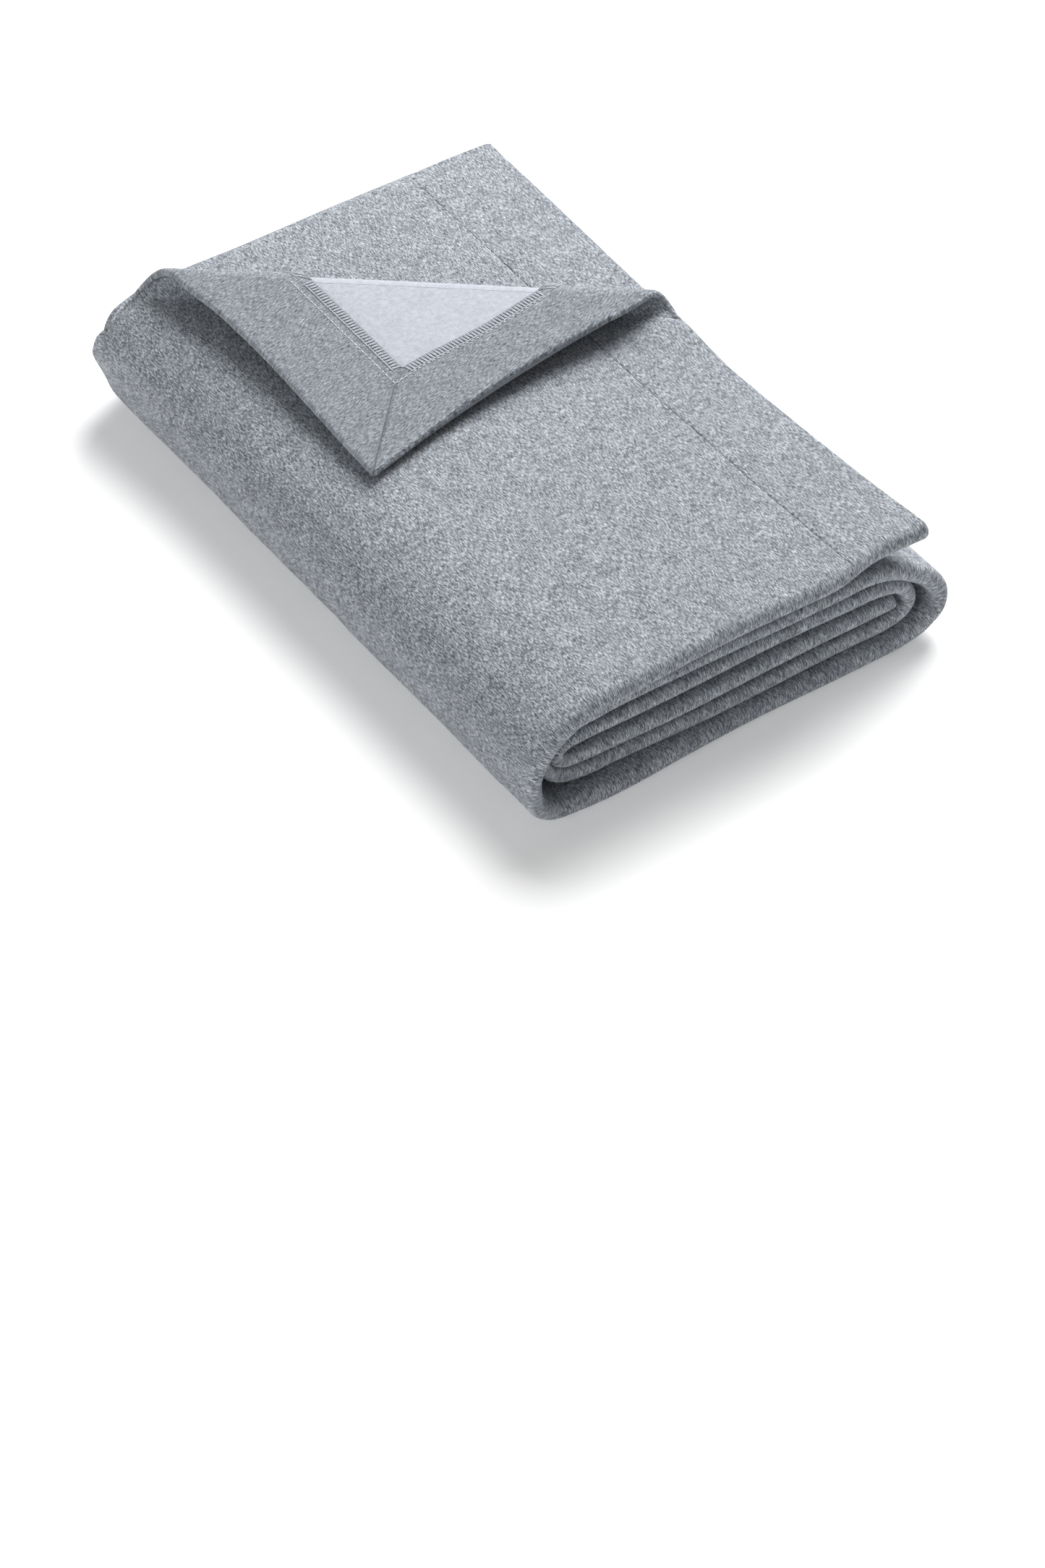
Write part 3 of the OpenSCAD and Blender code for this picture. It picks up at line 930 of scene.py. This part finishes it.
def flap_cloth(materials):
    """The corner past the curl, without the turned hems."""
    past = with_seam_rows(np.linspace(0, REACH - 9, 40), last=False)[:, None]
    g = np.linspace(0, 1, 70)[None, :]
    share = past / REACH
    first = END_L + (TIP_L - END_L) * share + CLOTH_INSET
    last = SIDE_L + (TIP_L - SIDE_L) * share - CLOTH_INSET
    bow = 4.5 * np.sin(math.pi * np.clip(share, 0, 1)) ** 1.2 * smooth(share * 4)
    last = last - 1.3 * side_bow(SIDE_LEN * (1 - share))
    l = (first + bow) + (last - first - bow) * g
    d = CURL_LEN + past / math.cos(FLAP_SLOPE) + 0 * l
    mid = on_corner(l, d)
    normals = grid_normals(mid)[1:]
    flat = corner_flat(l, d)[1:]
    look = materials["cloth"]
    return cloth("corner_cloth", mid[1:], flat, HALF_PLY, HALF_PLY, look, ("u0",), normals=normals)


def band_section(width):
    """Across a hem band: distance from the finished edge and height above the sheet's middle, from
    under the edge, round it and over to the raw edge."""
    round_r = HEM_LEVEL / 2
    centre = round_r + HEM_HALF
    angle = np.linspace(-math.pi / 2, -3 * math.pi / 2, 9)
    arc = np.column_stack([centre + round_r * np.cos(angle), round_r + round_r * np.sin(angle)])
    across = np.linspace(centre + 2.5, width - 2.0, 22)
    flat_part = np.column_stack([across, np.full(len(across), HEM_LEVEL)])
    end = np.array([[width - 1.0, HEM_LEVEL], [width, HEM_LEVEL - 0.15]])
    under = np.array([[6.0, 0.0], [4.0, 0.0]])
    return np.concatenate([under, arc, flat_part, end])


def band_half(section):
    """Half thickness across the band: thin at its hidden and raw edges."""
    half = np.full(len(section), HEM_HALF)
    half[0] = 0.5
    half[-2:] = 0.75, 0.45
    return half


def flap_band(name, side, materials):
    """A hem band on the flap, mitred at the tip."""
    section = band_section(SIDE_BAND if side else END_BAND_TIP)
    length = 150.0  # about a band's, which sets how close the seam's rows are
    t = with_seam_rows(np.linspace(0, 1, 46) * length, first=False)[:, None] / length
    across = section[None, :, 0]
    height = np.broadcast_to(section[None, :, 1], (len(t), len(section)))
    if side:
        start = across * END_BAND_TIP / SIDE_BAND
        end = flap_reach(across)
        b = start + (end - start) * t
        l, d = flap_place(across + 0 * b, b)
    else:
        start = across * SIDE_BAND / END_BAND_TIP
        a = start + (flap_reach_end(across) - start) * t
        b = across * end_narrowing(a)
        a = start + (flap_reach_end(b) - start) * t
        l, d = flap_place(a, b)
    mid = on_corner(l, d, height)
    flat = corner_flat(l, d)[:-1] + HEM_NOISE
    half = band_half(section)[None, :]
    look = materials["hem"]
    normals = grid_normals(mid)[:-1]
    return cloth(name, mid[:-1], flat, half, half, look, ("u0", "u1"), flip=not side, normals=normals)


def curl_band(name, side, materials):
    """The same band where it goes round the curl."""
    section = band_section(SIDE_BAND if side else END_BAND_FAR)
    d = with_seam_rows(np.linspace(0, CURL_LEN, 20))[:, None]
    if side:
        l = side_edge_l(d) - section[None, :, 0] * SIDE_SPREAD
    else:
        l = end_edge_l(d) + section[None, :, 0] * END_SPREAD
    d = d + 0 * l
    height = np.broadcast_to(section[None, :, 1], l.shape)
    mid = on_corner(l, d, height)
    flat = corner_flat(l, d)[1:-1] + HEM_NOISE
    half = band_half(section)[None, :]
    look = materials["hem"]
    normals = grid_normals(mid)[1:-1]
    return cloth(name, mid[1:-1], flat, half, half, look, ("u0", "u1"), flip=side, normals=normals)


# ---- threads

# Radii
OVERLOCK_R = 0.36
OVERLOCK_CURL_R = 0.30
NEEDLE_R = 0.30
SEAM_R = 0.26
ROUND_ROLL_R = 0.22
MITRE_R = 0.38

LOOP_PITCH = 2.1
LOOP_WIDTH = 5.6
STITCH_PITCH = 3.1
STITCH_LEN = 2.5
STITCH_ALONG = np.array([0.0, 0.18, 0.5, 0.82, 1.0])  # shares of a stitch's length
STITCH_UP = np.array([-0.35, 0.06, 0.16, 0.06, -0.35])  # heights there
NEEDLE_IN = 10.0  # from the side band's raw edge to its needle line
NEEDLE_IN_END = 6.5  # the same on the end band


def above_hem(l, d, height):
    """A point of the turned corner, by its height above the hem band."""
    return on_corner(l, d, HEM_TOP + np.asarray(height, float))


def on_side_band(inward, along, height):
    """A point on the side band: inward from its raw edge, along it from the tip, above its top."""
    l, d = flap_place(SIDE_BAND - np.asarray(inward, float), np.asarray(along, float))
    return above_hem(l, d, height)


def on_end_band(inward, along, height):
    """The same on the end band."""
    along = np.asarray(along, float)
    width = END_BAND_TIP * end_narrowing(along)
    l, d = flap_place(along, width - np.asarray(inward, float))
    return above_hem(l, d, height)


def on_side_curl(inward, along, height):
    """The same where the side band goes round the curl, along it back from the curl's end."""
    d = CURL_LEN - np.asarray(along, float)
    l = side_edge_l(d) - (SIDE_BAND - np.asarray(inward, float)) * SIDE_SPREAD
    return above_hem(l, d, height)


def on_end_curl(inward, along, height):
    """The same where the end band goes round the curl."""
    d = CURL_LEN - np.asarray(along, float)
    l = end_edge_l(d) + (END_BAND_FAR - np.asarray(inward, float)) * END_SPREAD
    return above_hem(l, d, height)


def overlock_paths(place, start, end):
    """Slanted loops of thread over a raw edge, two strands to each."""
    count = int((end - start) / LOOP_PITCH)
    starts = start + (end - start) * np.arange(count) / count
    paths = []
    for k, first in enumerate(starts):
        sway = 0.25 * math.sin(2.4 * k) + 0.15 * math.sin(5.1 * k + 1)
        width = LOOP_WIDTH + sway
        over_in = np.array([-0.5, 0.1, 1.6, 3.6, width, width + 0.3])
        over_up = np.array([-1.2, 0.0, 0.20, 0.22, 0.14, -0.25])
        slant = np.array([0.0, 0.1, 0.5, 1.1, 1.7, 1.75])
        paths.append(place(over_in, first + slant, over_up))
        paths.append(place(over_in, first + 1.15 + slant * 0.35, over_up * 0.9))
    chain = np.linspace(start, end, max(8, int((end - start) / 1.2)))
    paths.append(place(LOOP_WIDTH + 0.15 * np.sin(chain * 3.0), chain, 0.2 + 0 * chain))
    return paths


def needle_paths(place, inward, start, end):
    """A line of lockstitches, each dipping into the cloth at its ends."""
    count = max(1, int((end - start) / STITCH_PITCH))
    paths = []
    for k in range(count):
        first = start + k * STITCH_PITCH
        along = first + STITCH_LEN * STITCH_ALONG
        up = np.array([-0.35, 0.08, 0.20, 0.08, -0.35])
        paths.append(place(inward + 0.06 * math.sin(3.7 * k), along, up))
    return paths


def on_roll(u, y):
    """The outer face of the roll at a place of its path."""
    u = np.atleast_1d(np.asarray(u, float))
    y = np.broadcast_to(np.asarray(y, float), u.shape)
    middle, out = PATH.at(u)
    hem = hem_back_y(u)
    n = ply_level(u) + HALF_PLY - GROOVE - pinch(u, y) + unevenness(u, y) * smooth((hem - y) / 30)
    n = n + back_lift(u, y, hem)
    x = middle[:, 0] + n * out[:, 0]
    z = middle[:, 1] + n * out[:, 1] + foot_hump(middle[:, 0], y) * (u < WALL_START)
    return np.column_stack([x, y, z]), out


def lifted(points, out, up):
    """Points moved out of the roll by up."""
    moved = points.copy()
    moved[:, 0] += out[:, 0] * up
    moved[:, 2] += out[:, 1] * up
    return moved


def round_roll_paths(start, end):
    """The back hem's needle line, round the roll from one place to another."""
    paths = []
    for first in np.arange(start, end - STITCH_LEN, STITCH_PITCH):
        u = first + STITCH_LEN * STITCH_ALONG
        y = hem_line_y(u)
        points, out = on_roll(u, y)
        paths.append(lifted(points, out, STITCH_UP))
    return paths


def top_end_paths():
    """The end hem's needle line on top of the pile."""
    paths = []
    u_line = NEEDLE_FROM_EDGE
    x_shift = (END_FOOT_X - TOP_END) * float(end_ease(u_line))
    last = fold_y(TOP_END - u_line + x_shift) - 4
    for first in np.arange(8.0, last, STITCH_PITCH):
        y = first + STITCH_LEN * STITCH_ALONG
        u = np.full(5, u_line)
        points, out = on_roll(u, y)
        points[:, 0] += (top_end_x(y) - TOP_END) * end_ease(u)
        paths.append(lifted(points, out, STITCH_UP))
    return paths


def under_end_paths():
    """The end hem's needle line on the ply that shows behind the turned corner."""
    paths = []
    for first in np.arange(236.0, ROLL_BACK - 6, STITCH_PITCH):
        y = first + STITCH_LEN * STITCH_ALONG
        x = under_end_x(y) - NEEDLE_FROM_EDGE
        z = Z_TOP - MIDDLE_DROP + HALF_PLY - GROOVE + STITCH_UP
        paths.append(np.column_stack([x, y, z]))
    return paths


# ---- stage


def make_stage():
    """A pale floor that glows a little, an even sky and two soft lights."""
    bpy.ops.mesh.primitive_plane_add(size=FLOOR_SIZE, location=(0, 0, 0))
    floor = bpy.context.object
    floor.name = "floor"
    material = bpy.data.materials.new("pale_floor")
    material.use_nodes = True
    shader = material.node_tree.nodes["Principled BSDF"]
    set_inputs(shader, {"Base Color": (0.93, 0.93, 0.93, 1), "Roughness": 0.95})
    set_inputs(shader, {"Emission Color": (1, 1, 1, 1), "Emission Strength": FLOOR_GLOW})
    floor.data.materials.append(material)
    world = bpy.data.worlds.new("studio")
    bpy.context.scene.world = world
    world.use_nodes = True
    sky = world.node_tree.nodes["Background"]
    set_inputs(sky, {"Color": (0.985, 0.992, 1.0, 1), "Strength": SKY_STRENGTH})
    for light in LIGHTS:
        add_light(*light)
    bpy.context.scene.view_settings.view_transform = "Standard"


def add_light(name, place, size, power):
    """A square soft light that faces the pile."""
    data = bpy.data.lights.new(name, "AREA")
    data.size = size
    data.energy = power
    light = bpy.data.objects.new(name, data)
    bpy.context.scene.collection.objects.link(light)
    light.location = place
    light.rotation_euler = (-Vector(place)).to_track_quat("-Z", "Y").to_euler()


def make_camera():
    """The camera at the photo's angle."""
    data = bpy.data.cameras.new("camera")
    data.sensor_fit = "HORIZONTAL"
    data.sensor_width = 36
    data.lens = CAMERA_LENS
    camera = bpy.data.objects.new("camera", data)
    bpy.context.scene.collection.objects.link(camera)
    camera.location = CAMERA_PLACE
    level = math.cos(CAMERA_ELEVATION)
    sideways, forward = math.sin(CAMERA_AZIMUTH) * level, -math.cos(CAMERA_AZIMUTH) * level
    back = Vector((sideways, forward, math.sin(CAMERA_ELEVATION)))
    camera.rotation_euler = (-back).to_track_quat("-Z", "Y").to_euler()
    bpy.context.scene.camera = camera


# ---- assembly


def frame_point(x, y, z):
    """A point of the pile in the frame's metres."""
    return tuple(np.array([x, y, z]) * MM + CORNER)


def path_point(u):
    """A point of the roll's path, half way back."""
    x, z = PATH.at(np.array([u]))[0][0]
    return frame_point(x, 200, z)


def curl_point(height):
    """A point over the middle of the curl's foot."""
    foot = FOLD_M * OVER + 0.5 * (END_L + SIDE_L) * FOLD
    return frame_point(foot[0], foot[1], TOP_LEVEL + height)


LOWER_BLEND = (path_point(ROOT_START), path_point(WALL_END))
UPPER_BLEND = (path_point(WALL_START), path_point(BEND_START))
CURL_BLEND = (curl_point(0), curl_point(2 * CURL_R))

ROLL_NODES = ["bottom_layer", "right_outer_wrap", "under_top_layer", "left_inner_wrap"]
ROLL_NODES += ["lower_inner_layer", "right_inner_wrap", "upper_inner_layer", "core_fold"]
ROLL_NODES += ["core_layer", "core_end_hem", "roll_back_hem"]


def build():
    """Makes every piece and says which body carries it and which CAD nodes it replaces."""
    materials = make_materials()
    sheet = build_roll(materials) + build_top(materials)
    corner, hems = build_corner(materials)
    add_threads(materials)
    declare_cloth()


def build_roll(materials):
    """The roll below the top layer, cut where it bends."""
    both = ("u0", "u1")
    roll = rolled_piece("roll_cloth", ROOT_START, PATH.length - 0.5, materials, ("u0",))
    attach(roll, "folded_stack")
    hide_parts(*ROLL_NODES)
    lower = rolled_piece("lower_left_cloth", WALL_END, ROOT_START, materials, both)
    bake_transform(lower)
    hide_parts("lower_left_bend")
    wall = rolled_piece("left_side_cloth", WALL_START, WALL_END, materials, both)
    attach(wall, "left_side")
    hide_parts("left_side_wall", "left_side_back_hem")
    upper = rolled_piece("upper_left_cloth", BEND_START, WALL_START, materials, both + ("s0",))
    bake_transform(upper)
    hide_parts("upper_left_bend")
    return [roll, lower, wall, upper]


def build_top(materials):
    """The top layer: its outer ply and the two under it."""
    under = under_cloth(materials)
    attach(under, "top_layer")
    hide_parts("top_middle_ply", "top_inner_ply", "top_back_fold")
    top = top_cloth(materials)
    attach(top, "top_layer")
    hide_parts("top_outer_ply", "top_front_fold", "top_end_edge", "top_end_hem")
    return [under, top]


def build_corner(materials):
    """The turned corner's cloth, and its hems."""
    curl = curl_cloth(materials)
    flap = flap_cloth(materials)
    side = flap_band("side_hem_band", True, materials)
    end = flap_band("end_hem_band", False, materials)
    for piece in (flap, side, end):
        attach(piece, "turned_corner")
    side_curl = curl_band("side_hem_curl", True, materials)
    end_curl = curl_band("end_hem_curl", False, materials)
    for piece in (curl, side_curl, end_curl):
        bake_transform(piece)
    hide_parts("corner_curl")
    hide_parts("corner_panel")
    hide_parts("corner_side_hem")
    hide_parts("corner_end_hem")
    return [curl, flap], [side, end, side_curl, end_curl]


def declare(rests_on=(), with_pieces=()):
    rests_on, with_pieces = list(rests_on), list(with_pieces)


def declare_cloth():
    """The blanket is one sheet, modelled in pieces for its joints. The calls below list what each piece
    rests on and which pieces go with it, but declare keeps none of it.
    """
    declare()
    declare(with_pieces=["lower_left_needle_line"])
    declare(with_pieces=["left_side_needle_line"])
    declare(["roll_cloth"], ["upper_left_needle_line"])
    declare(["roll_cloth"], ["under_needle_line"])
    declare(["top_under_cloth"], ["top_needle_line"])
    carried = ["side_hem_curl", "end_hem_curl", "side_overlock_curl", "end_overlock_curl"]
    declare(["top_under_cloth"], carried)
    carried = ["side_hem_band", "end_hem_band", "side_overlock", "end_overlock"]
    carried += ["side_needle_line", "end_needle_line", "mitre_seam"]
    declare(["top_cloth"], carried)


def add_thread(name, paths, radius, look, bodies, across=(), nodes=()):
    """Thread that one body carries or, with across, that stays in the frame with its place baked in;
    the points in across are not read.
    """
    piece = tubes(name, paths, radius, look)
    if across:
        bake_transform(piece)
    else:
        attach(piece, *bodies)
    if nodes:
        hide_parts(*nodes)


def add_threads(materials):
    """Overlocking, needle lines and the mitre seam, each with the cloth that it holds."""
    side_end = float(flap_reach(SIDE_BAND))
    end_end = float(flap_reach_end(END_BAND_FAR))
    add_overlock(materials["overlock"], side_end, end_end)
    add_corner_lines(materials, side_end, end_end)
    add_needle_lines(materials)


def add_overlock(look, side_end, end_end):
    """Overlocking on the raw edges of the corner's hem bands."""
    slot, corner = "overlock_thread", ("turned_corner",)
    paths = overlock_paths(on_side_band, END_BAND_TIP + 0.8, side_end)
    add_thread("side_overlock", paths, OVERLOCK_R, look, corner, nodes=["corner_side_overlock"])
    paths = overlock_paths(on_end_band, SIDE_BAND + 0.8, end_end)
    add_thread("end_overlock", paths, OVERLOCK_R, look, corner, nodes=["corner_end_overlock"])
    for name, place in (("side_overlock_curl", on_side_curl), ("end_overlock_curl", on_end_curl)):
        paths = overlock_paths(place, 0, CURL_LEN)
        add_thread(name, paths, OVERLOCK_CURL_R, look, ("top_layer", "turned_corner"), CURL_BLEND)


def add_corner_lines(materials, side_end, end_end):
    """The corner's needle lines, which meet on the mitre, and the mitre's seam."""
    slot, corner, needle = "needle_thread", ("turned_corner",), materials["needle"]
    mitre_a = SIDE_BAND - NEEDLE_IN
    mitre_b = END_BAND_TIP - NEEDLE_IN_END
    paths = needle_paths(on_side_band, NEEDLE_IN, mitre_b, side_end + 8)
    add_thread("side_needle_line", paths, NEEDLE_R, needle, corner, nodes=["corner_side_stitch"])
    paths = needle_paths(on_end_band, NEEDLE_IN_END, mitre_a, end_end + 4)
    add_thread("end_needle_line", paths, NEEDLE_R, needle, corner, nodes=["corner_end_stitch"])
    t = np.linspace(0.02, 1, 60)
    l, d = flap_place(mitre_a * t, mitre_b * t)
    paths = [on_corner(l, d, HEM_TOP - 0.05 + 0 * t)]
    # The seam thread's dark shades paint the shade of the crease along the mitre.
    seam = materials["seam"]
    add_thread("mitre_seam", paths, MITRE_R, seam, corner, nodes=["corner_mitre_seam"])


def add_needle_lines(materials):
    """The needle lines of the end hem and of the back hem, round the left side."""
    slot, top, left, stack = "needle_thread", "top_layer", "left_side", "folded_stack"
    seam, needle, radius = materials["seam"], materials["needle"], ROUND_ROLL_R
    nodes = ["top_end_stitch", "top_end_overlock"]
    add_thread("top_needle_line", top_end_paths(), SEAM_R, seam, (top,), nodes=nodes)
    add_thread("under_needle_line", under_end_paths(), SEAM_R, seam, (top,))
    paths = round_roll_paths(BEND_START, WALL_START)
    add_thread("upper_left_needle_line", paths, radius, needle, (left, top), UPPER_BLEND)
    paths = round_roll_paths(WALL_START, WALL_END)
    add_thread("left_side_needle_line", paths, radius, needle, (left,))
    paths = round_roll_paths(WALL_END, ROOT_START)
    add_thread("lower_left_needle_line", paths, radius, needle, (stack, left), LOWER_BLEND)


build()
make_stage()
make_camera()
